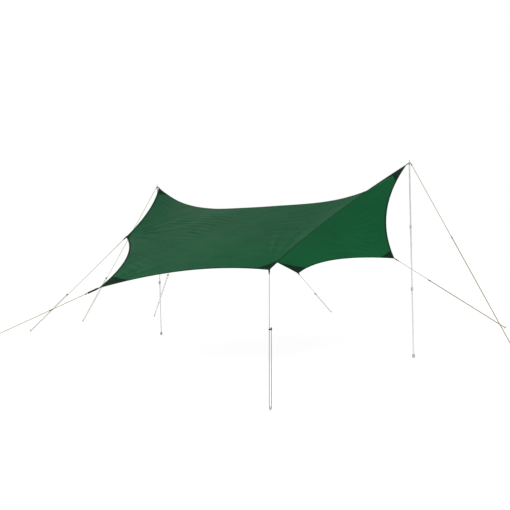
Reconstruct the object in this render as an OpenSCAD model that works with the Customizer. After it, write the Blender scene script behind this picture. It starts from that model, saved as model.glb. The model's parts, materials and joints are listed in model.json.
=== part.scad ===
// Eight-point tarp shelter, pitched between two telescopic poles as a saddle:
// two opposite corners are held high on poles, the other six tie-outs are
// pulled low by guylines to stakes driven into the ground.
// Millimetres, +Z up. The ground is z = 0 and the origin lies halfway between
// the feet of the two poles. +X runs from the left pole to the right pole.

/* [Pitch] */
// Height of the steel ring on each pole above the ground
peak_h = 2400; // [2390:5:2410]
// Distance between the two pole axes
pole_span = 4660; // [4640:5:4680]
// Drop of the ridge seam halfway between the poles
ridge_drop = 410; // [300:10:480]
// How sharply the ridge seam rises next to the poles
ridge_power = 4; // [2:0.5:5]

/* [Canopy] */
// Thickness of the canopy's solid
cloth_t = 1.2; // [1:0.1:2]
// Width of the binding sewn round the whole edge
binding_w = 14; // [10:1:20]
// Thickness of the binding
binding_t = 2.4; // [2:0.2:4]
// Thickness of a reinforcement patch
patch_t = 1; // [0.8:0.1:2]
// Distance from a pole's ring to the corner of the cloth
peak_gap = 45; // [40:1:55]

/* [Webbing and rings] */
// Width of the tie-out webbing
webbing_w = 20; // [16:1:25]
// Thickness of the folded webbing
webbing_t = 2.4; // [2:0.2:3]
// Length of a webbing tab beyond the cloth
webbing_len = 52; // [45:1:60]
// Length of the front corner's longer webbing tab
long_webbing_len = 140; // [120:5:160]
// Diameter of the wire of a peak ring
ring_wire = 5; // [4:0.5:6]
// Inner diameter of a peak ring
ring_bore = 14; // [14:1:18]

/* [Guylines] */
// Diameter of the guyline cord
cord_d = 6; // [5:0.5:6]
// Distance between the two runs of a doubled cord
run_gap = 20; // [20:1:22]
// Height of the loop round each stake
loop_h = 24; // [20:1:30]

/* [Tensioners] */
// Length of a tensioner across the cord
runner_len = 36; // [36:1:42]
// Width of a tensioner
runner_w = 14; // [13:1:16]
// Thickness of a tensioner along the cord
runner_t = 9; // [7:1:12]

/* [Stakes] */
// Diameter of the stake's round bar
stake_d = 7; // [6:0.5:7]
// Length of the straight shaft, tip included
stake_len = 230; // [200:10:260]
// Angle between the shaft and the vertical
stake_lean = 25; // [15:1:30]
// Height of the hook's bend above the ground, along the shaft
stake_head = 42; // [38:1:50]

/* [Poles] */
// Outer diameter of the top tube
top_tube_d = 16; // [16:1:16]
// Wall of every tube
tube_wall = 1.2; // [1:0.1:1.4]
// Overlap of two tubes at full length
tube_overlap = 80; // [70:5:100]
// Height of the top end of the bottom tube
lower_joint_h = 870; // [860:5:880]
// Height of the top end of the middle tube
upper_joint_h = 1640; // [1630:5:1650]
// Running clearance between two tubes, on the radius
slip = 0.05; // [0.03:0.01:0.1]
// Height of a clamp's collar
clamp_h = 44; // [40:1:48]
// Length of a clamp's lever below its pin
lever_len = 34; // [30:1:36]
// Diameter of the rubber foot
foot_d = 34; // [30:1:40]
// Height of the rubber foot
foot_h = 42; // [38:1:50]

/* [Hidden] */
$fn = 48;
half_span = pole_span / 2;
UP = [0, 0, 1];

// Tie-out points in order round the edge, counted from the left peak.
PEAK_L = [-half_span, 0, peak_h];
PEAK_R = [half_span, 0, peak_h];
TIE = [
    PEAK_L,
    [-1260, -1540, 1590],
    [20, -3000, 1000],
    [1670, -1930, 1170],
    PEAK_R,
    [1100, 1590, 1180],
    [-1140, 2110, 910],
    [-3250, 1420, 1710]
];
SIDE_NAMES = [
    "left_peak", "left_edge", "front_corner", "front_edge",
    "right_peak", "right_edge", "back_corner", "back_edge"
];
// Where each stake enters the ground.
STAKE_AT = [
    [-5280, 620, 0],
    [-4680, -920, 0],
    [-1500, -4700, 0],
    [2870, -3360, 0],
    [3500, 410, 0],
    [2020, 3330, 0],
    [-2050, 4280, 0],
    [-4770, 1990, 0]
];
// Length of the doubled run between each stake and its tensioner.
DOUBLED = [1400, 1700, 1900, 1150, 1650, 1600, 1300, 1200];
// Depth of the catenary cut of the edge that follows each tie-out, as a share of its span.
EDGE_CUT = [0.043, 0.081, 0.129, 0.059, 0.079, 0.100, 0.129, 0.095];

POLE_PIECES = [
    "pole_tip", "top_tube", "upper_clamp", "upper_lever", "upper_lever_pin", "middle_tube",
    "lower_clamp", "lower_lever", "lower_lever_pin", "bottom_tube", "pole_foot"
];

// ---- canopy surface: a relaxed net between the cut edges and the ridge seam ----
GRID = 20;
HALF = GRID / 2;
RELAX_STEPS = 120;
SURFACE_TOP = [0, 0, peak_h * 0.86];

function unit(v) = v / norm(v);
function across(v, along) = v - along * (v * along);
function is_peak(k) = k == 0 || k == 4;
// A peak's cloth stops short of the pole's ring; every other corner is the tie-out itself.
function cloth_corner(k) =
    is_peak(k) ? TIE[k] + peak_gap * unit([-TIE[k][0], 0, -0.35 * half_span]) : TIE[k];
// A point on the edge from tie-out a to tie-out b, bowed towards the middle of the cloth.
function edge_point(a, b, cut, t) =
    let (p = cloth_corner(a), q = cloth_corner(b), along = unit(q - p), mid = (p + q) / 2)
    p + (q - p) * t + unit(across(SURFACE_TOP - mid, along)) * cut * norm(q - p) * 4 * t * (1 - t);
// One side of the square net runs over two edges, with a tie-out in its middle.
function side_point(a, m, b, cut_a, cut_b, t) =
    t < 0.5 ? edge_point(a, m, cut_a, 2 * t) : edge_point(m, b, cut_b, 2 * t - 1);
function front_side(t) = side_point(2, 3, 4, EDGE_CUT[2], EDGE_CUT[3], t);
function left_side(t) = side_point(2, 1, 0, EDGE_CUT[1], EDGE_CUT[0], t);
function right_side(t) = side_point(4, 5, 6, EDGE_CUT[4], EDGE_CUT[5], t);
function back_side(t) = side_point(0, 7, 6, EDGE_CUT[7], EDGE_CUT[6], t);
function ridge(t) =
    let (p = cloth_corner(0), q = cloth_corner(4))
    p + (q - p) * t - UP * ridge_drop * (1 - pow(abs(2 * t - 1), ridge_power));
function blended(u, v) =
    (1 - v) * front_side(u) + v * back_side(u) + (1 - u) * left_side(v) + u * right_side(v)
    - (1 - u) * (1 - v) * front_side(0) - u * (1 - v) * front_side(1)
    - (1 - u) * v * back_side(0) - u * v * back_side(1);
function is_fixed(i, j) = i == 0 || i == GRID || j == 0 || j == GRID || i + j == GRID;
start_net = [for (i = [0:GRID]) [for (j = [0:GRID])
    i + j == GRID ? ridge(i / GRID) : blended(i / GRID, j / GRID)]];
function relaxed(s, steps) = steps == 0 ? s : relaxed([for (i = [0:GRID]) [for (j = [0:GRID])
    is_fixed(i, j) ? s[i][j] : (s[i - 1][j] + s[i + 1][j] + s[i][j - 1] + s[i][j + 1]) / 4]], steps - 1);
NET = relaxed(start_net, RELAX_STEPS);

function net_at(i, j) = NET[min(max(i, 0), GRID)][min(max(j, 0), GRID)];
function net_normal(i, j) =
    unit(cross(net_at(i + 1, j) - net_at(i - 1, j), net_at(i, j + 1) - net_at(i, j - 1)));
function raised(i, j, h) = NET[i][j] + net_normal(i, j) * h;

// ---- general shapes ----
// A closed plate over net cells i0..i1 by j0..j1, from height low to height high above the net.
module net_plate(i0, i1, j0, j1, low, high) {
    w = j1 - j0 + 1;
    count = (i1 - i0 + 1) * w;
    function at(i, j, layer) = layer * count + (i - i0) * w + (j - j0);
    points = [for (h = [low, high]) for (i = [i0:i1]) for (j = [j0:j1]) raised(i, j, h)];
    under = [for (i = [i0:i1 - 1]) for (j = [j0:j1 - 1]) for (f = [
        [at(i, j, 0), at(i + 1, j, 0), at(i, j + 1, 0)],
        [at(i + 1, j, 0), at(i + 1, j + 1, 0), at(i, j + 1, 0)]]) f];
    over = [for (i = [i0:i1 - 1]) for (j = [j0:j1 - 1]) for (f = [
        [at(i, j, 1), at(i, j + 1, 1), at(i + 1, j, 1)],
        [at(i + 1, j, 1), at(i, j + 1, 1), at(i + 1, j + 1, 1)]]) f];
    walls = concat(
        [for (i = [i0:i1 - 1]) for (f = wall(at(i, j0, 0), at(i + 1, j0, 0), count)) f],
        [for (i = [i0:i1 - 1]) for (f = wall(at(i + 1, j1, 0), at(i, j1, 0), count)) f],
        [for (j = [j0:j1 - 1]) for (f = wall(at(i1, j, 0), at(i1, j + 1, 0), count)) f],
        [for (j = [j0:j1 - 1]) for (f = wall(at(i0, j + 1, 0), at(i0, j, 0), count)) f]);
    polyhedron(points, concat(under, over, walls));
}
function wall(a, b, count) = [[a, a + count, b + count], [a, b + count, b]];

// Frames that put a shape's own +Z, +X along given directions.
module placed(at, x_dir, z_dir) {
    y_dir = cross(z_dir, x_dir);
    multmatrix([
        [x_dir[0], y_dir[0], z_dir[0], at[0]],
        [x_dir[1], y_dir[1], z_dir[1], at[1]],
        [x_dir[2], y_dir[2], z_dir[2], at[2]],
        [0, 0, 0, 1]
    ]) children();
}

// A round cord through a list of points, with one ring of corners at each point.
CORD_SIDES = 8;
module cord_tube(path, side_dir) {
    last = len(path) - 1;
    r = cord_d / 2;
    function heading(i) = unit(path[min(i + 1, last)] - path[max(i - 1, 0)]);
    points = [for (i = [0:last])
        let (h = heading(i), over = unit(cross(h, side_dir)), side = unit(cross(over, h)))
        for (k = [0:CORD_SIDES - 1])
            path[i] + r * (cos(360 * k / CORD_SIDES) * side + sin(360 * k / CORD_SIDES) * over)];
    skin = [for (i = [0:last - 1]) for (k = [0:CORD_SIDES - 1])
        let (n = (k + 1) % CORD_SIDES, a = i * CORD_SIDES, b = (i + 1) * CORD_SIDES)
        for (f = [[a + k, b + k, b + n], [a + k, b + n, a + n]]) f];
    first_cap = [for (k = [0:CORD_SIDES - 1]) k];
    last_cap = [for (k = [CORD_SIDES - 1:-1:0]) last * CORD_SIDES + k];
    polyhedron(points, concat(skin, [first_cap, last_cap]));
}

// ---- where each guyline starts, runs and ends ----
function loop_centre(k) = STAKE_AT[k] + UP * loop_h;
// Direction of a webbing tab: towards the ring at a peak, towards the stake elsewhere.
function tab_dir(k) =
    is_peak(k) ? unit(TIE[k] - cloth_corner(k)) : unit(loop_centre(k) - cloth_corner(k));
ring_mid_r = (ring_bore + ring_wire) / 2;
function is_long_tab(k) = SIDE_NAMES[k] == "front_corner";
function tab_len(k) = is_long_tab(k) ? long_webbing_len : webbing_len;
function tab_end(k) = cloth_corner(k) + tab_dir(k) * tab_len(k);
line_gap = 0.5;
roll_r = 4;
function line_start(k) =
    is_peak(k)
    ? TIE[k] + unit(STAKE_AT[k] - [TIE[k][0], TIE[k][1], 0]) * (ring_mid_r + (ring_wire + cord_d) / 2 + line_gap)
    : tab_end(k) + tab_dir(k) * (roll_r + line_gap);
function line_side(k) = unit(cross(loop_centre(k) - line_start(k), UP));
function main_end(k) = loop_centre(k) + line_side(k) * run_gap / 2;
function line_dir(k) = unit(main_end(k) - line_start(k));
function back_start(k) = main_end(k) - line_side(k) * run_gap;
function back_end(k) = back_start(k) - line_dir(k) * DOUBLED[k];
BEND_STEPS = 6;
function guyline_path(k) = concat(
    [line_start(k), main_end(k) - line_dir(k) * 20],
    [for (s = [0:BEND_STEPS])
        let (a = 180 * s / BEND_STEPS)
        loop_centre(k) + (line_side(k) * cos(a) + line_dir(k) * sin(a)) * run_gap / 2],
    [back_start(k) - line_dir(k) * 20, back_end(k)]
);

// ---- cloth parts ----
module canopy() {
    color([0.10, 0.34, 0.22])
        net_plate(0, GRID, 0, GRID, -cloth_t / 2, cloth_t / 2);
}

// Net indices of the edge, once round.
RIM = concat(
    [for (i = [0:GRID - 1]) [i, 0]],
    [for (j = [0:GRID - 1]) [GRID, j]],
    [for (i = [GRID:-1:1]) [i, GRID]],
    [for (j = [GRID:-1:1]) [0, j]]
);
// Direction out of the cloth at an edge point, along the cloth.
function rim_out(k) =
    let (n = len(RIM), a = RIM[(k + n - 1) % n], b = RIM[(k + 1) % n], c = RIM[k],
        along = unit(net_at(b[0], b[1]) - net_at(a[0], a[1])))
    unit(cross(along, net_normal(c[0], c[1])));
binding_gap = 0.7;
module edge_binding() {
    n = len(RIM);
    points = [for (k = [0:n - 1])
        let (c = RIM[k], p = NET[c[0]][c[1]], out = rim_out(k), up = net_normal(c[0], c[1]))
        for (q = [[binding_gap, -1], [binding_w, -1], [binding_w, 1], [binding_gap, 1]])
            p + out * q[0] + up * q[1] * binding_t / 2];
    faces = [for (k = [0:n - 1]) for (s = [0:3])
        let (a = 4 * k, b = 4 * ((k + 1) % n), t = (s + 1) % 4)
        for (f = [[a + s, a + t, b + t], [a + s, b + t, b + s]]) f];
    color([0.03, 0.16, 0.09])
        polyhedron(points, faces);
}

patch_gap = 0.1;
CORNER_CELLS = 2;
module reinforcement_patches() {
    low = cloth_t / 2 + patch_gap;
    high = low + patch_t;
    c = CORNER_CELLS;
    color([0.03, 0.17, 0.08]) {
        for (i = [0, GRID - c]) for (j = [0, GRID - c])
            net_plate(i, i + c, j, j + c, low, high);
        for (j = [0, GRID - 1])
            net_plate(HALF - 1, HALF + 1, j, j + 1, low, high);
        for (i = [0, GRID - 1])
            net_plate(i, i + 1, HALF - 1, HALF + 1, low, high);
    }
}

module peak_ring(at) {
    color("silver")
        translate(at)
            rotate_extrude()
                translate([ring_mid_r, 0]) circle(d = ring_wire, $fn = 32);
}

// A folded webbing tab with a rolled end; at a peak it ends on the wire of the ring.
// The long tab stands on edge, its width upright.
module webbing(k) {
    along = tab_dir(k);
    side = unit(cross(along, UP));
    up = cross(side, along);
    start = binding_w - 4;
    reach = is_peak(k) ? peak_gap - ring_mid_r - 1 - start : tab_len(k) - start;
    color([0.06, 0.06, 0.06])
        placed(cloth_corner(k) + along * start, along, up)
            rotate([is_long_tab(k) ? 90 : 0, 0, 0]) {
                translate([0, -webbing_w / 2, -webbing_t / 2])
                    cube([reach, webbing_w, webbing_t]);
                if (!is_peak(k))
                    translate([reach, 0, 0])
                        rotate([90, 0, 0])
                            cylinder(r = roll_r, h = webbing_w, center = true);
            }
}

// ---- guylines, tensioners and stakes ----
module guyline(k) {
    color([0.66, 0.58, 0.32])
        cord_tube(guyline_path(k), line_side(k));
}

cord_clear = 0.45;
function tensioner_at(k) = back_end(k) + line_side(k) * run_gap / 2 + line_dir(k) * 30;
module tensioner(k) {
    straight = runner_len - runner_w;
    color([0.16, 0.16, 0.12])
        placed(tensioner_at(k), line_side(k), line_dir(k))
            difference() {
                translate([0, 0, -runner_t / 2])
                    linear_extrude(runner_t)
                        union() {
                            square([straight, runner_w], center = true);
                            for (s = [-1, 1])
                                translate([s * straight / 2, 0]) circle(d = runner_w);
                        }
                for (s = [-1, 1])
                    translate([s * run_gap / 2, 0, 0])
                        cylinder(r = cord_d / 2 + cord_clear, h = runner_t + 2, center = true);
            }
}

// The shaft leans away from the shelter; its hook opens away from the line.
function stake_dir(k) =
    let (out = unit(STAKE_AT[k] - [TIE[k][0], TIE[k][1], 0]))
    out * sin(stake_lean) + UP * cos(stake_lean);
STAKE_TIP = 22;
HOOK_R = 9;
module stake(k) {
    up = stake_dir(k);
    side = unit(cross(up, UP));
    out = cross(side, up);
    below = stake_len - stake_head;
    lift = loop_h / cos(stake_lean);
    color([0.62, 0.64, 0.66])
        placed(loop_centre(k) - up * lift, -out, up) {
            translate([0, 0, -below + STAKE_TIP])
                cylinder(d = stake_d, h = stake_len - STAKE_TIP);
            translate([0, 0, -below])
                cylinder(d1 = 1.5, d2 = stake_d, h = STAKE_TIP);
            translate([HOOK_R, 0, stake_head])
                rotate([90, 0, 0])
                    rotate_extrude(angle = 180)
                        translate([HOOK_R, 0]) circle(d = stake_d, $fn = 32);
            translate([2 * HOOK_R, 0, stake_head - 8])
                cylinder(d = stake_d, h = 8);
        }
}

// ---- poles, built upwards from the ground at x = 0 ----
middle_tube_d = top_tube_d + 2 * slip + 2 * tube_wall;
bottom_tube_d = middle_tube_d + 2 * slip + 2 * tube_wall;
BALL_R = 10;
ring_clear = 0.3;
// The ring rests over the ball at the pole's top; the pole turns about the ball's centre.
ball_below = sqrt(pow(BALL_R + ring_wire / 2 + ring_clear, 2) - pow(ring_mid_r, 2));
ball_h = peak_h - ball_below;
top_tube_end = ball_h - 14;
SPIKE_D = 7;
FOOT_SOLE = 12;
CLAMP_LIP = 6;
CLAMP_WALL = 3.2;
PIN_D = 4;
PIN_CLEAR = 0.05;
EAR_W = 4;
LEVER_W = 12;
LEVER_GAP = 0.2;

module tube(d, bore, z0, z1) {
    color([0.80, 0.81, 0.82])
        translate([0, 0, z0])
            difference() {
                cylinder(d = d, h = z1 - z0);
                translate([0, 0, -1]) cylinder(d = bore, h = z1 - z0 + 2);
            }
}
module top_tube() {
    tube(top_tube_d, top_tube_d - 2 * tube_wall, upper_joint_h - tube_overlap, top_tube_end);
}
module middle_tube() {
    tube(middle_tube_d, top_tube_d + 2 * slip, lower_joint_h - tube_overlap, upper_joint_h);
}
module bottom_tube() {
    tube(bottom_tube_d, middle_tube_d + 2 * slip, FOOT_SOLE, lower_joint_h);
}
module pole_tip() {
    color([0.35, 0.36, 0.37]) {
        translate([0, 0, top_tube_end - 30])
            cylinder(d = top_tube_d - 2 * tube_wall, h = 30);
        translate([0, 0, top_tube_end])
            cylinder(d = top_tube_d, h = ball_h - top_tube_end - 6);
        translate([0, 0, ball_h])
            sphere(r = BALL_R);
        translate([0, 0, ball_h])
            cylinder(d = SPIKE_D, h = 46);
        translate([0, 0, ball_h + 46])
            sphere(d = SPIKE_D);
    }
}
module pole_foot() {
    color([0.12, 0.12, 0.12])
        difference() {
            cylinder(d = foot_d, h = foot_h);
            translate([0, 0, FOOT_SOLE])
                cylinder(d = bottom_tube_d, h = foot_h);
        }
}

// The collar sits over the end of the outer tube and its lip closes on the inner one.
function collar_r(outer_d) = outer_d / 2 + CLAMP_WALL;
function pin_y(outer_d) = -collar_r(outer_d) - PIN_D;
function pin_z(end_h) = end_h - 8;
module clamp(outer_d, inner_d, end_h) {
    r = collar_r(outer_d);
    color([0.10, 0.10, 0.11])
        difference() {
            union() {
                translate([0, 0, end_h - clamp_h + CLAMP_LIP])
                    cylinder(r = r, h = clamp_h);
                for (s = [-1, 1])
                    translate([s * (LEVER_W / 2 + LEVER_GAP + EAR_W / 2), 0, pin_z(end_h)])
                        ear(pin_y(outer_d));
            }
            translate([0, 0, end_h - clamp_h])
                cylinder(d = outer_d, h = clamp_h);
            translate([0, 0, end_h - 1])
                cylinder(d = inner_d + 4 * slip, h = CLAMP_LIP + 2);
            translate([0, pin_y(outer_d), pin_z(end_h)])
                rotate([0, 90, 0])
                    cylinder(d = PIN_D, h = 40, center = true);
        }
}
// One ear of a clamp: a plate with a round end about the pin.
module ear(y) {
    translate([-EAR_W / 2, y, -PIN_D])
        cube([EAR_W, -y - 6, 2 * PIN_D]);
    translate([0, y, 0])
        rotate([0, 90, 0])
            cylinder(r = PIN_D, h = EAR_W, center = true);
}
module lever(outer_d, end_h) {
    color([0.55, 0.56, 0.58])
        translate([0, pin_y(outer_d), pin_z(end_h)])
            difference() {
                union() {
                    rotate([0, 90, 0])
                        cylinder(r = PIN_D - 0.3, h = LEVER_W, center = true);
                    translate([-LEVER_W / 2, -PIN_D + 0.3, -lever_len])
                        cube([LEVER_W, PIN_D, lever_len]);
                    translate([0, -PIN_D + 0.3, -lever_len])
                        rotate([-90, 0, 0])
                            cylinder(d = LEVER_W, h = PIN_D);
                }
                rotate([0, 90, 0])
                    cylinder(d = PIN_D + 2 * PIN_CLEAR, h = LEVER_W + 2, center = true);
            }
}
module lever_pin(outer_d, end_h) {
    color("silver")
        translate([0, pin_y(outer_d), pin_z(end_h)])
            rotate([0, 90, 0])
                cylinder(d = PIN_D, h = LEVER_W + 2 * LEVER_GAP + 2 * EAR_W, center = true);
}

// One of the eleven pieces of a pole, by name.
module pole_piece(piece) {
    if (piece == "pole_tip") pole_tip();
    if (piece == "top_tube") top_tube();
    if (piece == "upper_clamp") clamp(middle_tube_d, top_tube_d, upper_joint_h);
    if (piece == "upper_lever") lever(middle_tube_d, upper_joint_h);
    if (piece == "upper_lever_pin") lever_pin(middle_tube_d, upper_joint_h);
    if (piece == "middle_tube") middle_tube();
    if (piece == "lower_clamp") clamp(bottom_tube_d, middle_tube_d, lower_joint_h);
    if (piece == "lower_lever") lever(bottom_tube_d, lower_joint_h);
    if (piece == "lower_lever_pin") lever_pin(bottom_tube_d, lower_joint_h);
    if (piece == "bottom_tube") bottom_tube();
    if (piece == "pole_foot") pole_foot();
}
canopy();
edge_binding();
reinforcement_patches();
peak_ring(PEAK_L);  // peak_ring_left
peak_ring(PEAK_R);  // peak_ring_right
for (k = [0:len(TIE) - 1]) {
    webbing(k);
    guyline(k);
    tensioner(k);
    stake(k);
}
for (s = [["left", -half_span], ["right", half_span]])
    for (piece = POLE_PIECES)
        translate([s[1], 0, 0]) pole_piece(piece);
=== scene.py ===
import json
import math

import bpy
import numpy as np
from mathutils import Matrix, Vector


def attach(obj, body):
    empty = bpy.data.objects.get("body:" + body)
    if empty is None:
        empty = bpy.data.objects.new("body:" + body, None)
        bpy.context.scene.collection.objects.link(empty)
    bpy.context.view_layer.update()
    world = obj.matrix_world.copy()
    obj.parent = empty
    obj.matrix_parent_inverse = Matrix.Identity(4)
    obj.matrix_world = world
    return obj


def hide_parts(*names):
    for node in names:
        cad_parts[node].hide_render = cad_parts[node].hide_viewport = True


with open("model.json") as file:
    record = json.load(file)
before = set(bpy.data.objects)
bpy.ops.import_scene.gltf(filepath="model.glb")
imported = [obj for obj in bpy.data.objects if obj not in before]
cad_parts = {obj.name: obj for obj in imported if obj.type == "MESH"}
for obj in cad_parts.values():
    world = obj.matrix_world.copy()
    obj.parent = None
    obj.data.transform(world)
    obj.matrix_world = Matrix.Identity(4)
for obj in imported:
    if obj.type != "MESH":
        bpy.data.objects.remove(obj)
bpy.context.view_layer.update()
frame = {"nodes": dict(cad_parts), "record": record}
SCENE = bpy.context.scene
UP = np.array([0.0, 0.0, 1.0])
NAMES = ["left_peak", "left_edge", "front_corner", "front_edge",
         "right_peak", "right_edge", "back_corner", "back_edge"]


def unit(v):
    return v / np.linalg.norm(v)


# ---- camera ----
CAMERA_AT = (7.4025, -8.616, 1.5022)
CAMERA_TURN = (41.609, -1.080, -1.440)  # yaw, pitch and roll, in degrees
CAMERA_LENS = 56.15  # mm


def make_camera():
    yaw, pitch, roll = (math.radians(a) for a in CAMERA_TURN)
    ahead = np.array([-math.sin(yaw) * math.cos(pitch), math.cos(yaw) * math.cos(pitch), math.sin(pitch)])
    right = np.array([math.cos(yaw), math.sin(yaw), 0.0])
    above = np.cross(right, ahead)
    c, s = math.cos(roll), math.sin(roll)
    right, above = c * right + s * above, c * above - s * right
    data = bpy.data.cameras.new("camera")
    data.lens = CAMERA_LENS
    data.clip_start, data.clip_end = 0.1, 200
    cam = bpy.data.objects.new("camera", data)
    SCENE.collection.objects.link(cam)
    m = np.eye(4)
    m[:3, 0], m[:3, 1], m[:3, 2], m[:3, 3] = right, above, -ahead, CAMERA_AT
    cam.matrix_world = Matrix(m.tolist())
    SCENE.camera = cam


make_camera()

# ---- the pitch: tie-outs, stakes and guyline routes, as the CAD part sets them, in metres ----
TIE = np.array([
    (-2.330, 0, 2.400), (-1.260, -1.540, 1.590), (0.020, -3.000, 1.000), (1.670, -1.930, 1.170),
    (2.330, 0, 2.400), (1.100, 1.590, 1.180), (-1.140, 2.110, 0.910), (-3.250, 1.420, 1.710),
])
STAKE = np.array([
    (-5.280, 0.620, 0), (-4.680, -0.920, 0), (-1.500, -4.700, 0), (2.870, -3.360, 0),
    (3.500, 0.410, 0), (2.020, 3.330, 0), (-2.050, 4.280, 0), (-4.770, 1.990, 0),
])
DOUBLED = [1.400, 1.700, 1.900, 1.150, 1.650, 1.600, 1.300, 1.200]
EDGE_CUT = [0.043, 0.081, 0.129, 0.059, 0.079, 0.100, 0.129, 0.095]
POLE_H, HALF_SPAN = 2.400, 2.330
CORD_D, RUN_GAP, LOOP_H, ROLL_R = 0.006, 0.020, 0.024, 0.004
LINE_GAP, BEND_LEAD = 0.0005, 0.02
TAB_LEN = [0.140 if name == "front_corner" else 0.052 for name in NAMES]
RING_R, RING_WIRE, PEAK_GAP, PEAK_DROP = 0.0095, 0.005, 0.045, 0.35
PEAKS = (0, 4)


def cloth_corner(k):
    if k not in PEAKS:
        return TIE[k]
    return TIE[k] + PEAK_GAP * unit(np.array([-TIE[k][0], 0, -PEAK_DROP * HALF_SPAN]))


def loop_centre(k):
    return STAKE[k] + UP * LOOP_H


def tab_dir(k):
    return unit((TIE[k] if k in PEAKS else loop_centre(k)) - cloth_corner(k))


def line_start(k):
    if k in PEAKS:
        return TIE[k] + unit(STAKE[k] - TIE[k] * (1, 1, 0)) * (RING_R + (RING_WIRE + CORD_D) / 2 + LINE_GAP)
    return cloth_corner(k) + tab_dir(k) * (TAB_LEN[k] + ROLL_R + LINE_GAP)


def line_route(k):
    """Down the single run, round the stake and back up the doubled run."""
    a, c = line_start(k), loop_centre(k)
    side = unit(np.cross(c - a, UP))
    end = c + side * RUN_GAP / 2
    along = unit(end - a)
    back = end - side * RUN_GAP
    route = [a + (end - along * BEND_LEAD - a) * t for t in np.linspace(0, 1, 8)]
    route += [c + (side * math.cos(t) + along * math.sin(t)) * RUN_GAP / 2
              for t in np.linspace(0, math.pi, 13)]
    top = back - along * DOUBLED[k]
    route += [back - along * BEND_LEAD + (top - back + along * BEND_LEAD) * t for t in np.linspace(0, 1, 8)]
    return np.array(route), along, side


def link(obj):
    SCENE.collection.objects.link(obj)
    return obj


def smooth_mesh(name, verts, faces, uv=None, materials=()):
    mesh = bpy.data.meshes.new(name)
    mesh.from_pydata([tuple(map(float, v)) for v in verts], [], [tuple(map(int, f)) for f in faces])
    if uv is not None:
        layer = mesh.uv_layers.new(name="UVMap")
        index = np.empty(len(mesh.loops), dtype=np.int32)
        mesh.loops.foreach_get("vertex_index", index)
        layer.data.foreach_set("uv", np.asarray(uv, dtype=np.float32)[index].ravel())
    for m in materials:
        mesh.materials.append(m)
    mesh.polygons.foreach_set("use_smooth", [True] * len(mesh.polygons))
    return link(bpy.data.objects.new(name, mesh))


# ---- materials ----
class Nodes:
    """A short way to build one node material round a Principled shader."""

    def __init__(self, name, rough, metal=0.0, specular=0.5):
        self.mat = bpy.data.materials.new(name)
        self.mat.use_nodes = True
        self.tree = self.mat.node_tree
        self.shader = self.tree.nodes["Principled BSDF"]
        self.set(self.shader, "Metallic", metal)
        self.set(self.shader, "Roughness", rough)
        self.set(self.shader, "Specular IOR Level", specular)
        self.coord = self.tree.nodes.new("ShaderNodeTexCoord")

    @staticmethod
    def set(node, socket, value):
        node.inputs[socket].default_value = value

    def wire(self, a, b):
        self.tree.links.new(a, b)

    def scaled(self, source, scale):
        n = self.tree.nodes.new("ShaderNodeMapping")
        self.set(n, "Scale", scale)
        self.wire(self.coord.outputs[source], n.inputs["Vector"])
        return n.outputs["Vector"]

    def noise(self, source, scale, detail=4.0, stretch=(1, 1, 1)):
        n = self.tree.nodes.new("ShaderNodeTexNoise")
        self.set(n, "Scale", scale)
        self.set(n, "Detail", detail)
        self.wire(self.scaled(source, stretch), n.inputs["Vector"])
        return n.outputs["Fac"]

    def wave(self, source, per_metre, axis):
        n = self.tree.nodes.new("ShaderNodeTexWave")
        n.wave_type, n.bands_direction = "BANDS", axis
        self.set(n, "Scale", per_metre * math.pi / 10)
        self.wire(self.scaled(source, (1, 1, 1)), n.inputs["Vector"])
        return n.outputs["Fac"]

    def math(self, op, a, b):
        n = self.tree.nodes.new("ShaderNodeMath")
        n.operation = op
        for i, v in enumerate((a, b)):
            if isinstance(v, (int, float)):
                n.inputs[i].default_value = v
            else:
                self.wire(v, n.inputs[i])
        return n.outputs[0]

    def ramp(self, fac, stops):
        n = self.tree.nodes.new("ShaderNodeValToRGB")
        e = n.color_ramp.elements
        for i, (pos, colour) in enumerate(stops):
            el = e[i] if i < 2 else e.new(pos)
            el.position, el.color = pos, (*colour, 1)
        self.wire(fac, n.inputs["Fac"])
        return n.outputs["Color"]

    def colour(self, fac, stops):
        self.wire(self.ramp(fac, stops), self.shader.inputs["Base Color"])

    def rough(self, fac, low, high):
        n = self.tree.nodes.new("ShaderNodeMapRange")
        self.set(n, "To Min", low)
        self.set(n, "To Max", high)
        self.wire(fac, n.inputs["Value"])
        self.wire(n.outputs["Result"], self.shader.inputs["Roughness"])

    def bump(self, height, distance, strength=1.0):
        n = self.tree.nodes.new("ShaderNodeBump")
        self.set(n, "Strength", strength)
        self.set(n, "Distance", distance)
        self.wire(height, n.inputs["Height"])
        self.wire(n.outputs["Normal"], self.shader.inputs["Normal"])


def shade(c, k):
    return tuple(x * k for x in c)


RIP_PER_M = 180  # heavier threads to the metre


def cloth_material(name, base, gloss, weave_per_m, rough=0.62, variation=0.14):
    """Coated ripstop: a fine weave, a heavier thread every few millimetres, and soft colour drift."""
    n = Nodes(name, rough, specular=gloss)
    drift = n.math("MULTIPLY", n.noise("Object", 0.9, 3), 0.75)
    mottle = n.math("MULTIPLY", n.noise("Object", 14, 5), 0.25)
    n.colour(n.math("ADD", drift, mottle), [(0.3, shade(base, 1 - variation)), (0.7, shade(base, 1 + variation))])
    weave = n.math("MULTIPLY", n.wave("UV", weave_per_m, "X"), n.wave("UV", weave_per_m, "Y"))
    rip = n.math("MAXIMUM", *(n.math("POWER", n.wave("UV", RIP_PER_M, axis), 14) for axis in "XY"))
    uneven = n.math("MULTIPLY", n.noise("Object", 30, 4), 0.8)
    n.bump(n.math("ADD", n.math("MULTIPLY", weave, 0.4), n.math("ADD", rip, uneven)), 0.0006, 0.55)
    n.rough(n.noise("Object", 5, 4), rough - 0.08, rough + 0.12)
    return n.mat


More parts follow.
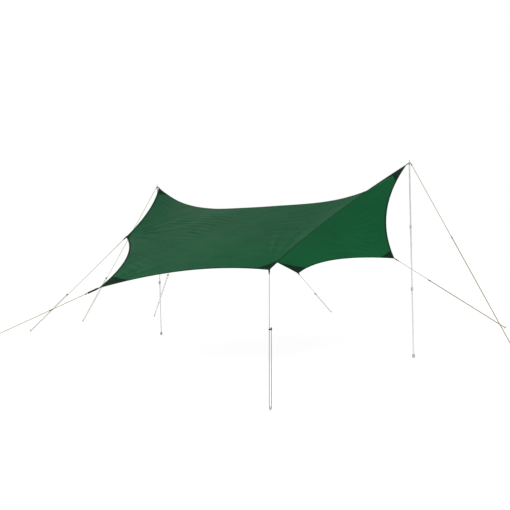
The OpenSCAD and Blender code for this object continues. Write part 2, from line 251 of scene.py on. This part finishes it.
def stitched_tape(name, base, thread, rows):
    """Woven tape with dashed rows of thread. UV is metres along and across the tape."""
    n = Nodes(name, 0.8, specular=0.03)
    sep = n.tree.nodes.new("ShaderNodeSeparateXYZ")
    n.wire(n.coord.outputs["UV"], sep.inputs["Vector"])
    dash = n.math("LESS_THAN", n.math("FRACT", n.math("MULTIPLY", sep.outputs["X"], 1 / 0.0045), 0), 0.68)
    line = None
    for row in rows:
        near = n.math("LESS_THAN", n.math("ABSOLUTE", n.math("SUBTRACT", sep.outputs["Y"], row), 0), 0.0006)
        line = near if line is None else n.math("MAXIMUM", line, near)
    stitch = n.math("MULTIPLY", dash, line)
    tone = n.math("MULTIPLY", n.noise("Object", 40, 5), 0.6)
    n.colour(n.math("MAXIMUM", tone, stitch), [(0.15, shade(base, 0.8)), (0.6, shade(base, 1.25)), (0.95, thread)])
    ribs = n.math("MULTIPLY", n.wave("UV", 900, "X"), n.wave("UV", 600, "Y"))
    n.bump(n.math("ADD", ribs, n.math("MULTIPLY", stitch, 1.5)), 0.0005, 0.8)
    return n.mat


def cord_material():
    n = Nodes("guyline_braid", 0.8, specular=0.03)
    twist = n.math("MULTIPLY", n.wave("Object", 320, "DIAGONAL"), n.wave("Object", 260, "Z"))
    n.colour(n.math("ADD", n.math("MULTIPLY", n.noise("Object", 60, 4), 0.7), n.math("MULTIPLY", twist, 0.3)),
             [(0.25, (0.16, 0.115, 0.010)), (0.75, (0.31, 0.225, 0.028))])
    n.bump(twist, 0.0006, 0.8)
    return n.mat


def metal_material(name, base, rough, brushed=(1, 1, 0.03), scuff=0.25):
    n = Nodes(name, rough, metal=1.0)
    grain = n.noise("Object", 420, 3, brushed)
    worn = n.math("ADD", n.math("MULTIPLY", grain, 0.6), n.math("MULTIPLY", n.noise("Object", 25, 6), 0.4))
    n.colour(worn, [(0.3, shade(base, 1 - scuff)), (0.7, shade(base, 1.08))])
    n.rough(worn, rough - 0.08, rough + 0.18)
    n.bump(grain, 0.0001, 0.4)
    return n.mat


def moulded_material(name, base, rough, grain=900):
    n = Nodes(name, rough, specular=0.4)
    n.colour(n.noise("Object", 60, 5), [(0.3, shade(base, 0.75)), (0.72, shade(base, 1.35))])
    n.bump(n.noise("Object", grain, 2), 0.0002, 0.5)
    n.rough(n.noise("Object", 90, 4), rough - 0.08, rough + 0.12)
    return n.mat


TOP = cloth_material("canopy_top", (0.008, 0.079, 0.031), 0.02, 1400)
# Underside: the same cloth painted brighter and greener, as painted light shining through the fabric, not a
# different dye.
UNDER_PAINTED_BACKLIGHT = cloth_material("canopy_underside_painted_backlight", (0.0075, 0.094, 0.033), 0.01, 1400, 0.7)
PATCH = cloth_material("reinforcement", (0.0045, 0.024, 0.0105), 0.02, 900, 0.75)
TAPE = stitched_tape("binding", (0.0085, 0.042, 0.019), (0.020, 0.075, 0.035), (0.003, 0.021))
STRAP = stitched_tape("webbing_black", (0.012, 0.012, 0.012), (0.07, 0.07, 0.07), (0.003, 0.017))
SEAM = stitched_tape("seam", (0.030, 0.098, 0.050), (0.07, 0.17, 0.10), (0.003,))
CORD = cord_material()

# ---- guylines ----
TURN = 6.2832
KNOT_PITCH = 0.0055
PEAK_EYE_R, PEAK_EYE_LIFT = 0.0098, 0.0056


def tube_mesh(name, path, r, sides=10):
    """A closed round tube through points, for knots and short loops."""
    path = np.array(path)
    heading = np.gradient(path, axis=0)
    verts, faces = [], []
    side = unit(np.cross(heading[0], UP + (0.3, 0.2, 0)))
    for p, h in zip(path, heading):
        h = unit(h)
        side = unit(side - h * (side @ h))
        over = np.cross(h, side)
        verts += [p + r * (math.cos(a) * side + math.sin(a) * over)
                  for a in np.linspace(0, 2 * math.pi, sides, False)]
    for i in range(len(path) - 1):
        for s in range(sides):
            t = (s + 1) % sides
            faces.append((i * sides + s, i * sides + t, (i + 1) * sides + t, (i + 1) * sides + s))
    faces += [tuple(range(sides))[::-1], tuple(range((len(path) - 1) * sides, len(path) * sides))]
    return smooth_mesh(name, verts, faces, materials=[CORD])


def wraps(at, along, side, turns, r):
    """A short helix of cord about the line, as the body of a knot."""
    over = np.cross(along, side)
    t = np.linspace(0, turns, int(turns * 14))
    return [at + along * (x - turns / 2) * KNOT_PITCH
            + r * (math.cos(TURN * x) * side + math.sin(TURN * x) * over) for x in t]


def eye_route(k, start, along, side):
    """The loop the line ends in: through the webbing's roll, or over a peak's ring and round the pole's spike."""
    if k in PEAKS:
        out = unit(STAKE[k] - TIE[k] * (1, 1, 0))
        flank = np.cross(UP, out)
        centre = TIE[k] + UP * PEAK_EYE_LIFT
        loop = [centre + PEAK_EYE_R * (out * math.cos(a) + flank * math.sin(a))
                for a in np.linspace(0.35, 5.93, 28)]
        return [start + along * 0.008, *loop, start + along * 0.008 + side * 0.0005]
    over = np.cross(along, side)
    return [start + along * (0.010 * math.cos(a) - 0.006) + over * 0.0075 * math.sin(a)
            for a in np.linspace(0.3, 5.98, 28)]


for k, name in enumerate(NAMES):
    route, along, side = line_route(k)
    curve = bpy.data.curves.new("cord_" + name, "CURVE")
    curve.dimensions = "3D"
    curve.bevel_depth = CORD_D / 2
    curve.bevel_resolution = 3
    curve.use_fill_caps = True
    spline = curve.splines.new("POLY")
    spline.points.add(len(route) - 1)
    for point, p in zip(spline.points, route):
        point.co = (*p, 1)
    curve.materials.append(CORD)
    cord = link(bpy.data.objects.new("cord_" + name, curve))
    head_at, tail_at = route[0] + along * 0.022, route[-1] + along * 0.008
    head = tube_mesh("knot_head_" + name, wraps(head_at, along, side, 3.5, 0.0052), 0.0027)
    tail = tube_mesh("knot_tail_" + name, wraps(tail_at, along, side, 2.5, 0.0048), 0.0026)
    eye = tube_mesh("knot_eye_" + name, eye_route(k, route[0], along, side), 0.0026)
    for piece in (head, tail, eye):
        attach(piece, "pitch")
    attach(cord, "pitch")
    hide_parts("guyline_" + name)

# ---- the cloth surface: the CAD part's rule on a finer net ----
N = 160
CUT_AIM = 0.86    # the edges are cut in towards this share of the pole height
RIDGE_SAG = 0.410
FLAT_SIDE = 4.3   # the cloth's side before it is stretched


def edge_point(a, b, cut, t):
    p, q = cloth_corner(a), cloth_corner(b)
    along = unit(q - p)
    inward = np.array([0, 0, POLE_H * CUT_AIM]) - (p + q) / 2
    inward = unit(inward - along * (inward @ along))
    return p + (q - p) * t + inward * cut * np.linalg.norm(q - p) * 4 * t * (1 - t)


def side_line(a, m, b, cut_a, cut_b):
    return np.array([edge_point(a, m, cut_a, 2 * t) if t < 0.5 else edge_point(m, b, cut_b, 2 * t - 1)
                     for t in np.linspace(0, 1, N + 1)])


def make_net():
    front = side_line(2, 3, 4, EDGE_CUT[2], EDGE_CUT[3])
    left = side_line(2, 1, 0, EDGE_CUT[1], EDGE_CUT[0])
    right = side_line(4, 5, 6, EDGE_CUT[4], EDGE_CUT[5])
    back = side_line(0, 7, 6, EDGE_CUT[7], EDGE_CUT[6])
    u = np.linspace(0, 1, N + 1)[:, None, None]
    v = np.linspace(0, 1, N + 1)[None, :, None]
    s = (1 - v) * front[:, None] + v * back[:, None] + (1 - u) * left[None] + u * right[None]
    s = s - (1 - u) * (1 - v) * front[0] - u * (1 - v) * front[-1] - (1 - u) * v * back[0] - u * v * back[-1]
    i = np.arange(N + 1)
    t = i[:, None] / N
    p, q = cloth_corner(0), cloth_corner(4)
    ridge = p + (q - p) * t - UP * RIDGE_SAG * (1 - abs(2 * t - 1) ** 4)
    s[i, N - i] = ridge
    for _ in range(9000):
        s[1:-1, 1:-1] = (s[:-2, 1:-1] + s[2:, 1:-1] + s[1:-1, :-2] + s[1:-1, 2:]) / 4
        s[i, N - i] = ridge
    return s


def normals_of(s):
    n = np.cross(np.gradient(s, axis=0), np.gradient(s, axis=1))
    return n / np.linalg.norm(n, axis=2, keepdims=True)


SMOOTH = make_net()
NORMAL = normals_of(SMOOTH)
G = np.linspace(0, 1, N + 1)
U, V = np.meshgrid(G, G, indexing="ij")
EDGE_MASK = np.clip(np.minimum.reduce([U, V, 1 - U, 1 - V]) / 0.05, 0, 1) ** 1.5
# Corner places on the net, in tie-out order.
PLACE = [(0, 1), (0, 0.5), (0, 0), (0.5, 0), (1, 0), (1, 0.5), (1, 1), (0.5, 1)]


def wrinkles():
    """Tension creases that fan out from each tie-out, and faint slack waves along the cloth's pull."""
    h = np.zeros_like(U)
    for k, (a, b) in enumerate(PLACE):
        du, dv = U - a, V - b
        r = np.hypot(du, dv)
        inward = math.atan2(0.5 - b, 0.5 - a)
        turn = np.arctan2(dv, du) - inward
        turn = (turn + math.pi) % (2 * math.pi) - math.pi
        fan = np.cos(11 * turn + 1.3 * k) + 0.6 * np.cos(19 * turn + 2.1 * k)
        h += 0.0075 * fan * np.exp(-r / 0.12) * np.clip(r / 0.05, 0, 1)
    across = U + V - 1
    slack = np.sin(9.1 * U + 2.0) * np.sin(7.3 * V + 1.1) + 0.35 * np.sin(23 * (U - V) + 4 * across)
    slack = np.clip(slack, 0, 1)
    waves = np.sin(150 * across + 3.0 * np.sin(9 * (U - V)) + 1.6 * np.sin(21 * U))
    h += 0.0042 * waves * slack * (1 - np.exp(-((across / 0.06) ** 2)))
    h += 0.0018 * np.sin(17 * U + 6 * V + 2 * np.sin(5 * V)) * np.sin(9 * V - 4 * U)
    return h * EDGE_MASK


SURFACE = SMOOTH + NORMAL * wrinkles()[..., None]
CLOTH_UV = np.stack([U * FLAT_SIDE, V * FLAT_SIDE], -1).reshape(-1, 2)


def net_faces():
    """Cells split along the ridge direction."""
    out = []
    at = lambda i, j: i * (N + 1) + j
    for i in range(N):
        for j in range(N):
            out.append((at(i, j), at(i + 1, j), at(i, j + 1)))
            out.append((at(i + 1, j), at(i + 1, j + 1), at(i, j + 1)))
    return out


def on_cloth(u, v):
    """The cloth's own point at a place on the net."""
    i, j = min(int(u * N), N - 1), min(int(v * N), N - 1)
    a, b = u * N - i, v * N - j
    if a + b <= 1:
        p = SURFACE[i, j]
        return p + a * (SURFACE[i + 1, j] - p) + b * (SURFACE[i, j + 1] - p)
    p = SURFACE[i + 1, j + 1]
    return p + (1 - a) * (SURFACE[i, j + 1] - p) + (1 - b) * (SURFACE[i + 1, j] - p)


def thicken(obj, t, offset=0.0, under=False):
    m = obj.modifiers.new("thickness", "SOLIDIFY")
    m.thickness, m.offset = t, offset
    if under:
        m.material_offset = 1


# The solidify's second material, the copy painted with light shining through the cloth, goes on the underside.
canopy = smooth_mesh("canopy_cloth", SURFACE.reshape(-1, 3), net_faces(), CLOTH_UV, [TOP, UNDER_PAINTED_BACKLIGHT])
thicken(canopy, 0.0012, under=True)
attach(canopy, "pitch")
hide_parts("canopy")


def corner_patch(a, b, m=20):
    """A triangle across a corner, as rows of net places."""
    du, dv = 0.085 * (1 - 2 * a), 0.085 * (1 - 2 * b)
    return [[(a + du * i / m, b + dv * (1 - i / m) * j / m) for j in range(m + 1)] for i in range(m + 1)]


def middle_patch(a, b, m=28, reach=0.046):
    """A low triangle at a mid-side, cut off by a straight line between its two ends on the edge."""

    def place(s, d):
        return (s, abs(b - d)) if a == 0.5 else (abs(a - d), s)

    p, q = on_cloth(*place(0.5 - reach, 0)), on_cloth(*place(0.5 + reach, 0))
    line, rows = unit(q - p), []
    depths = np.linspace(0, 0.07, 71)
    for s in np.linspace(0.5 - reach, 0.5 + reach, m + 1):
        off = [np.linalg.norm(np.cross(on_cloth(*place(s, d)) - p, line)) for d in depths]
        rows.append([place(s, depths[int(np.argmin(off))] * j / 10) for j in range(11)])
    return rows


def make_patches():
    verts, uv, faces = [], [], []
    for a, b in PLACE:
        rows = middle_patch(a, b) if 0.5 in (a, b) else corner_patch(a, b)
        first, w = len(verts), len(rows[0])
        for u, v in (p for row in rows for p in row):
            verts.append(on_cloth(u, v))
            uv.append((u * FLAT_SIDE, v * FLAT_SIDE))
        for i in range(len(rows) - 1):
            for j in range(w - 1):
                c = first + i * w + j
                faces.append((c, c + 1, c + w + 1, c + w))
    obj = smooth_mesh("patches", verts, faces, uv, [PATCH])
    weld = obj.modifiers.new("weld", "WELD")
    weld.merge_threshold = 0.0002
    return obj


patches = make_patches()
thicken(patches, 0.0036)
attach(patches, "pitch")
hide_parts("reinforcement_patches")


# ---- binding: a folded tape, rounded over the edge ----
def rim():
    i = list(range(N))
    return ([(a, 0) for a in i] + [(N, a) for a in i] + [(N - a, N) for a in i] + [(0, N - a) for a in i])


def make_binding():
    cells = rim()
    line = np.array([SURFACE[c] for c in cells])
    normal = np.array([NORMAL[c] for c in cells])
    tangent = np.roll(line, -1, 0) - np.roll(line, 1, 0)
    tangent /= np.linalg.norm(tangent, axis=1, keepdims=True)
    out = np.cross(tangent, normal)
    out /= np.linalg.norm(out, axis=1, keepdims=True)
    section = [(-0.018, 0.0010), (-0.017, 0.0022), (0.000, 0.0026), (0.005, 0.0020), (0.0065, 0.0),
               (0.005, -0.0020), (0.000, -0.0026), (-0.017, -0.0022), (-0.018, -0.0010)]
    m, n = len(section), len(cells)
    run = np.concatenate([[0], np.cumsum(np.linalg.norm(np.diff(line, axis=0), axis=1))])
    verts, uv, faces = [], [], []
    for k in range(n):
        for x, y in section:
            verts.append(line[k] + out[k] * x + normal[k] * y)
            uv.append((run[k], x + 0.018))
    for k in range(n):
        for s in range(m):
            a, b, t = k * m, ((k + 1) % n) * m, (s + 1) % m
            faces.append((a + s, a + t, b + t, b + s))
    return smooth_mesh("hem", verts, faces, uv, [TAPE])


hem = make_binding()
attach(hem, "pitch")
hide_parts("edge_binding")


SEAM_HALF = 0.010


def make_seam():
    """The ridge seam: a felled strip over the cloth. Each half's V starts at its outer edge,
    so one row of stitches in the material shows on both halves."""
    i = np.arange(2, N - 1)
    mid = SURFACE[i, N - i]
    along = np.gradient(mid, axis=0)
    along /= np.linalg.norm(along, axis=1, keepdims=True)
    run = np.concatenate([[0], np.cumsum(np.linalg.norm(np.diff(mid, axis=0), axis=1))])
    near = SURFACE[i + 1, N - i] - mid
    far = SURFACE[i - 1, N - i] - mid
    verts, uv = [], []
    for k in range(len(i)):
        a, b = (mid[k] + unit(e - along[k] * (e @ along[k])) * SEAM_HALF for e in (near[k], far[k]))
        verts += [a, mid[k], b]
        uv += [(run[k], 0.0), (run[k], SEAM_HALF), (run[k], 0.0)]
    faces = [(3 * k + s, 3 * k + s + 1, 3 * k + s + 4, 3 * k + s + 3) for k in range(len(i) - 1) for s in (0, 1)]
    strip = smooth_mesh("ridge_seam", verts, faces, uv, [SEAM])
    thicken(strip, 0.0026)
    return strip


seam = make_seam()
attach(seam, "pitch")


# ---- webbing: a folded strap, sewn on the patch and closed round the line or the ring ----
def make_strap(k):
    along = tab_dir(k)
    side = unit(np.cross(along, UP))
    up = np.cross(side, along)
    reach = PEAK_GAP - RING_R if k in PEAKS else TAB_LEN[k]
    eye = RING_WIRE / 2 + 0.0012 if k in PEAKS else ROLL_R - 0.0008
    turn = np.linspace(math.pi * 0.62, -math.pi * 0.62, 15)
    loop = [(reach + eye * math.cos(a), eye * math.sin(a)) for a in turn]
    tail = 0.004 if k in PEAKS else -0.030
    top = [(s, 0.0030) for s in np.linspace(tail, reach - 2.4 * eye, 15)]
    centre = np.array(top + loop + [(s, -y) for s, y in top[::-1]])
    tangent = np.gradient(centre, axis=0)
    tangent /= np.linalg.norm(tangent, axis=1, keepdims=True)
    flank = np.stack([-tangent[:, 1], tangent[:, 0]], 1)
    half_w, half_t = 0.010, 0.0007
    ring = [(-half_w, -0.5), (-half_w * 0.94, -1), (0, -1.1), (half_w * 0.94, -1), (half_w, -0.5),
            (half_w, 0.5), (half_w * 0.94, 1), (0, 1.1), (-half_w * 0.94, 1), (-half_w, 0.5)]
    run = np.concatenate([[0], np.cumsum(np.linalg.norm(np.diff(centre, axis=0), axis=1))])
    verts, uv, faces = [], [], []
    for c, f, s in zip(centre, flank, run):
        for w, t in ring:
            x, y = c + f * t * half_t
            turn_by = math.pi / 2 * min(max(x / 0.05, 0), 1) if NAMES[k] == "front_corner" else 0
            wide = math.cos(turn_by) * side + math.sin(turn_by) * up
            thick = math.cos(turn_by) * up - math.sin(turn_by) * side
            verts.append(cloth_corner(k) + along * x + thick * y + wide * w)
            uv.append((s, w + half_w))
    m = len(ring)
    for i in range(len(centre) - 1):
        for s in range(m):
            t = (s + 1) % m
            faces.append((i * m + s, i * m + t, (i + 1) * m + t, (i + 1) * m + s))
    last = (len(centre) - 1) * m
    faces += [tuple(range(m))[::-1], tuple(range(last, last + m))]
    return smooth_mesh("strap_" + NAMES[k], verts, faces, uv, [STRAP])


for k, name in enumerate(NAMES):
    strap = make_strap(k)
    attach(strap, "pitch")
    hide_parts("webbing_" + name)

# ---- hard parts keep their CAD shape, with worked edges and real finishes ----
FINISH = {
    "ring_steel": metal_material("ring_finish", (0.62, 0.62, 0.62), 0.28, (1, 1, 1)),
    "tensioner_plastic": moulded_material("tensioner_finish", (0.020, 0.022, 0.014), 0.45),
    "stake_metal": metal_material("stake_finish", (0.56, 0.57, 0.59), 0.36, (1, 1, 0.1), 0.4),
    "tip_metal": metal_material("tip_finish", (0.42, 0.42, 0.44), 0.32),
    "pole_tube": metal_material("tube_finish", (0.86, 0.87, 0.88), 0.34),
    "clamp_plastic": moulded_material("clamp_finish", (0.55, 0.56, 0.57), 0.5),
    "lever_plastic": moulded_material("lever_finish", (0.42, 0.43, 0.44), 0.45),
    "pin_steel": metal_material("pin_finish", (0.6, 0.6, 0.6), 0.25, (1, 1, 1)),
    "foot_rubber": moulded_material("rubber_finish", (0.40, 0.40, 0.40), 0.8, 500),
}
for part in frame["record"]["subparts"]:
    finish = FINISH.get(part["material_slot"])
    if finish is None:
        continue
    obj = frame["nodes"][part["node"]]
    for s in obj.material_slots:
        s.material = finish
    if part["material_slot"] in ("tensioner_plastic", "clamp_plastic", "lever_plastic", "foot_rubber"):
        bevel = obj.modifiers.new("soft_edges", "BEVEL")
        bevel.width, bevel.segments = 0.0008, 2
        bevel.limit_method, bevel.angle_limit = "ANGLE", math.radians(40)

# ---- floor and light ----
floor_data = bpy.data.meshes.new("floor")
floor_data.from_pydata([(-90, -90, 0), (90, -90, 0), (90, 90, 0), (-90, 90, 0)], [], [(0, 1, 2, 3)])
floor_nodes = Nodes("floor_pale", 0.9, specular=0.1)
floor_nodes.colour(floor_nodes.noise("Object", 0.4, 2), [(0.2, (0.14, 0.14, 0.14)), (0.8, (0.16, 0.16, 0.16))])
floor_nodes.set(floor_nodes.shader, "Emission Color", (1, 1, 1, 1))
floor_nodes.set(floor_nodes.shader, "Emission Strength", 0.93)
floor_data.materials.append(floor_nodes.mat)
floor = link(bpy.data.objects.new("floor", floor_data))

world = bpy.data.worlds.new("studio")
world.use_nodes = True
nodes, links = world.node_tree.nodes, world.node_tree.links
lighting, behind = nodes["Background"], nodes.new("ShaderNodeBackground")
for background, strength in ((lighting, 0.55), (behind, 1.0)):
    background.inputs["Color"].default_value = (1, 1, 1, 1)
    background.inputs["Strength"].default_value = strength
# Rays from the camera see plain white; all others are lit by the softer one.
either, ray = nodes.new("ShaderNodeMixShader"), nodes.new("ShaderNodeLightPath")
links.new(ray.outputs["Is Camera Ray"], either.inputs[0])
links.new(lighting.outputs[0], either.inputs[1])
links.new(behind.outputs[0], either.inputs[2])
links.new(either.outputs[0], nodes["World Output"].inputs["Surface"])
SCENE.world = world
SCENE.view_settings.view_transform = "Standard"


def area_light(name, at, towards, size, power):
    data = bpy.data.lights.new(name, "AREA")
    data.shape, data.size, data.energy = "DISK", size, power
    obj = bpy.data.objects.new(name, data)
    obj.location = at
    obj.rotation_mode = "QUATERNION"
    obj.rotation_quaternion = (Vector(towards) - Vector(at)).to_track_quat("-Z", "Y")
    link(obj)


area_light("key", (5, -7, 9), (0, 0, 1.5), 4, 620)
area_light("fill", (-7, 3, 6), (0, 0, 1.5), 6, 150)
